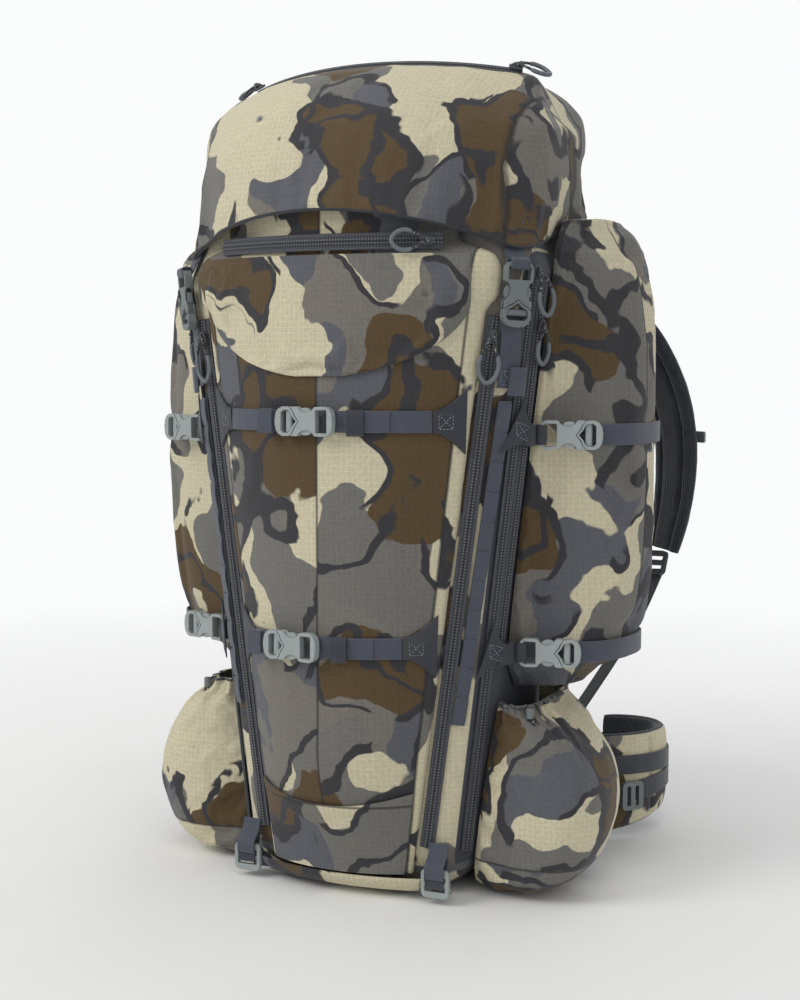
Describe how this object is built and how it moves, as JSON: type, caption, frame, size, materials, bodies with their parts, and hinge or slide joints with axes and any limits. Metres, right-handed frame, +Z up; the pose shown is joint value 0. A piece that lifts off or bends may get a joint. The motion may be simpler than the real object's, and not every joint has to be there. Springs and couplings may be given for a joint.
{
  "type": "hunting backpack",
  "caption": "Tall framed hunting backpack with a floating lid, long side pouches, open lower pockets, zips, compression straps, shoulder harness and hip belt.",
  "frame": {"origin": "centre of the bounding box, at its base", "axes": "+X to the right seen from the front, -Y out of the front panel, +Y towards the wearer, +Z up"},
  "size_m": [0.5252, 0.4807, 0.7899],
  "materials": {
    "camo_ripstop": "camouflage printed ripstop, matte",
    "grey_lining": "light coated nylon",
    "carbon_frame": "carbon fibre composite",
    "navy_mesh": "padded spacer mesh",
    "slate_laminate": "rubbery coated fabric",
    "zip_tape": "woven tape with a nylon coil",
    "zip_pull": "moulded grip on a cord",
    "grey_plastic": "acetal, satin",
    "slate_webbing": "woven nylon webbing"
  },
  "bodies": {
    "pack": {"main_bag": "camo_ripstop", "bottom_panel": "camo_ripstop", "front_panel": "camo_ripstop", "front_cuff": "camo_ripstop", "front_pocket": "camo_ripstop", "side_pouch_left": "camo_ripstop", "side_pouch_right": "camo_ripstop", "lower_pocket_left": "camo_ripstop", "lower_pocket_right": "camo_ripstop", "collar": "grey_lining", "hydration_sleeve": "grey_lining", "frame_stays": "carbon_frame", "frame_crossbars": "carbon_frame", "lumbar_pad": "navy_mesh", "back_pad": "navy_mesh", "yoke": "slate_laminate", "anchor_patches": "slate_laminate", "front_straps": "slate_webbing", "side_straps": "slate_webbing", "strap_keepers": "slate_webbing", "daisy_chains": "slate_webbing", "lid_anchor_straps": "slate_webbing", "bottom_straps": "slate_webbing", "zip_tapes": "zip_tape", "front_buckle_sockets": "grey_plastic", "side_buckle_sockets": "grey_plastic"},
    "lid": {"lid": "camo_ripstop", "lid_zip_tape": "zip_tape", "lid_straps": "slate_webbing", "lid_buckle_sockets": "grey_plastic"},
    "front_plug_upper": {"front_plug_upper": "grey_plastic"},
    "front_plug_lower": {"front_plug_lower": "grey_plastic"},
    "side_plug_left_upper": {"side_plug_left_upper": "grey_plastic"},
    "side_plug_left_lower": {"side_plug_left_lower": "grey_plastic"},
    "side_plug_right_upper": {"side_plug_right_upper": "grey_plastic"},
    "side_plug_right_lower": {"side_plug_right_lower": "grey_plastic"},
    "lid_plug_left": {"lid_plug_left": "grey_plastic"},
    "lid_plug_right": {"lid_plug_right": "grey_plastic"},
    "pocket_slider": {"pocket_slider": "zip_pull"},
    "front_slider_left": {"front_slider_left": "zip_pull"},
    "front_slider_right": {"front_slider_right": "zip_pull"},
    "bag_slider_left": {"bag_slider_left": "zip_pull"},
    "bag_slider_right": {"bag_slider_right": "zip_pull"},
    "pouch_slider_left": {"pouch_slider_left": "zip_pull"},
    "pouch_slider_right": {"pouch_slider_right": "zip_pull"},
    "bottom_lock_left": {"bottom_lock_left": "grey_plastic"},
    "bottom_lock_right": {"bottom_lock_right": "grey_plastic"},
    "haul_loop": {"haul_loop": "slate_webbing"},
    "lid_slider_left": {"lid_slider_left": "zip_pull"},
    "lid_slider_right": {"lid_slider_right": "zip_pull"},
    "sternum_slider_left": {"sternum_slider_left": "slate_webbing"},
    "sternum_slider_right": {"sternum_slider_right": "slate_webbing"},
    "shoulder_left": {"shoulder_pad_left": "navy_mesh", "shoulder_webbing_left": "slate_webbing"},
    "shoulder_right": {"shoulder_pad_right": "navy_mesh", "shoulder_webbing_right": "slate_webbing"},
    "belt_left": {"belt_wing_left": "navy_mesh", "belt_webbing_left": "slate_webbing"},
    "belt_right": {"belt_wing_right": "navy_mesh", "belt_webbing_right": "slate_webbing"}
  },
  "joints": [
    {"name": "lid_open", "type": "hinge", "parent": "pack", "child": "lid", "pos_m": [0, 0.0327, 0.646], "axis": [-1, 0, 0], "range_deg": [0, 90]},
    {"name": "front_buckle_upper", "type": "slide", "parent": "pack", "child": "front_plug_upper", "axis": [-0.9999, 0.0158, 0], "range_m": [0, 0.025]},
    {"name": "front_buckle_lower", "type": "slide", "parent": "pack", "child": "front_plug_lower", "axis": [-0.989, 0.148, 0], "range_m": [0, 0.025]},
    {"name": "side_buckle_left_upper", "type": "slide", "parent": "pack", "child": "side_plug_left_upper", "axis": [-0.9532, 0.3022, 0], "range_m": [0, 0.025]},
    {"name": "side_buckle_left_lower", "type": "slide", "parent": "pack", "child": "side_plug_left_lower", "axis": [-0.9631, 0.2691, 0], "range_m": [0, 0.025]},
    {"name": "lid_buckle_left", "type": "slide", "parent": "pack", "child": "lid_plug_left", "axis": [0.0829, 0.0233, -0.9963], "range_m": [0, 0.025]},
    {"name": "front_zip_left", "type": "slide", "parent": "pack", "child": "front_slider_left", "axis": [0.1298, -0.004, -0.9915], "range_m": [0, 0.43]},
    {"name": "bag_zip_left", "type": "slide", "parent": "pack", "child": "bag_slider_left", "axis": [0.1158, 0, -0.9933], "range_m": [0, 0.06]},
    {"name": "pouch_zip_left", "type": "slide", "parent": "pack", "child": "pouch_slider_left", "axis": [0.1177, 0, -0.9931], "range_m": [0, 0.04]},
    {"name": "lid_zip_left", "type": "hinge", "parent": "lid", "child": "lid_slider_left", "pos_m": [0, 0.1387, 0.7209], "axis": [0, 0.2419, 0.9703], "range_deg": [0, 28]},
    {"name": "bottom_lock_swing_left", "type": "hinge", "parent": "pack", "child": "bottom_lock_left", "pos_m": [-0.1, -0.18136, 0.03], "axis": [1, 0, 0], "range_deg": [-70, 0]},
    {"name": "shoulder_swing_left", "type": "hinge", "parent": "pack", "child": "shoulder_left", "pos_m": [-0.07, 0.0517, 0.54], "axis": [-0.1888, -0.026, -0.9817], "range_deg": [-10, 25]},
    {"name": "sternum_adjust_left", "type": "slide", "parent": "shoulder_left", "child": "sternum_slider_left", "axis": [0, 0, 1], "range_m": [-0.03, 0.03]},
    {"name": "belt_swing_left", "type": "hinge", "parent": "pack", "child": "belt_left", "pos_m": [-0.1, 0.0587, 0.06], "axis": [0, 0, -1], "range_deg": [-12, 18]},
    {"name": "side_buckle_right_upper", "type": "slide", "parent": "pack", "child": "side_plug_right_upper", "axis": [0.9532, 0.3022, 0], "range_m": [0, 0.025]},
    {"name": "side_buckle_right_lower", "type": "slide", "parent": "pack", "child": "side_plug_right_lower", "axis": [0.9631, 0.2691, 0], "range_m": [0, 0.025]},
    {"name": "lid_buckle_right", "type": "slide", "parent": "pack", "child": "lid_plug_right", "axis": [-0.0829, 0.0233, -0.9963], "range_m": [0, 0.025]},
    {"name": "front_zip_right", "type": "slide", "parent": "pack", "child": "front_slider_right", "axis": [-0.1298, -0.004, -0.9915], "range_m": [0, 0.43]},
    {"name": "bag_zip_right", "type": "slide", "parent": "pack", "child": "bag_slider_right", "axis": [-0.1158, 0, -0.9933], "range_m": [0, 0.06]},
    {"name": "pouch_zip_right", "type": "slide", "parent": "pack", "child": "pouch_slider_right", "axis": [-0.1177, 0, -0.9931], "range_m": [0, 0.04]},
    {"name": "lid_zip_right", "type": "hinge", "parent": "lid", "child": "lid_slider_right", "pos_m": [0, 0.1387, 0.7209], "axis": [0, 0.2419, 0.9703], "range_deg": [-28, 0]},
    {"name": "bottom_lock_swing_right", "type": "hinge", "parent": "pack", "child": "bottom_lock_right", "pos_m": [0.1, -0.18136, 0.03], "axis": [1, 0, 0], "range_deg": [-70, 0]},
    {"name": "shoulder_swing_right", "type": "hinge", "parent": "pack", "child": "shoulder_right", "pos_m": [0.07, 0.0517, 0.54], "axis": [-0.1888, 0.026, 0.9817], "range_deg": [-10, 25]},
    {"name": "sternum_adjust_right", "type": "slide", "parent": "shoulder_right", "child": "sternum_slider_right", "axis": [0, 0, 1], "range_m": [-0.03, 0.03]},
    {"name": "belt_swing_right", "type": "hinge", "parent": "pack", "child": "belt_right", "pos_m": [0.1, 0.0587, 0.06], "axis": [0, 0, 1], "range_deg": [-12, 18]},
    {"name": "pocket_zip", "type": "hinge", "parent": "pack", "child": "pocket_slider", "pos_m": [0, 0.0327, 0.611], "axis": [0, 0, -1], "range_deg": [0, 40]},
    {"name": "haul_loop_swing", "type": "hinge", "parent": "pack", "child": "haul_loop", "pos_m": [0, 0.0477, 0.608], "axis": [1, 0, 0], "range_deg": [0, 120]}
  ]
}
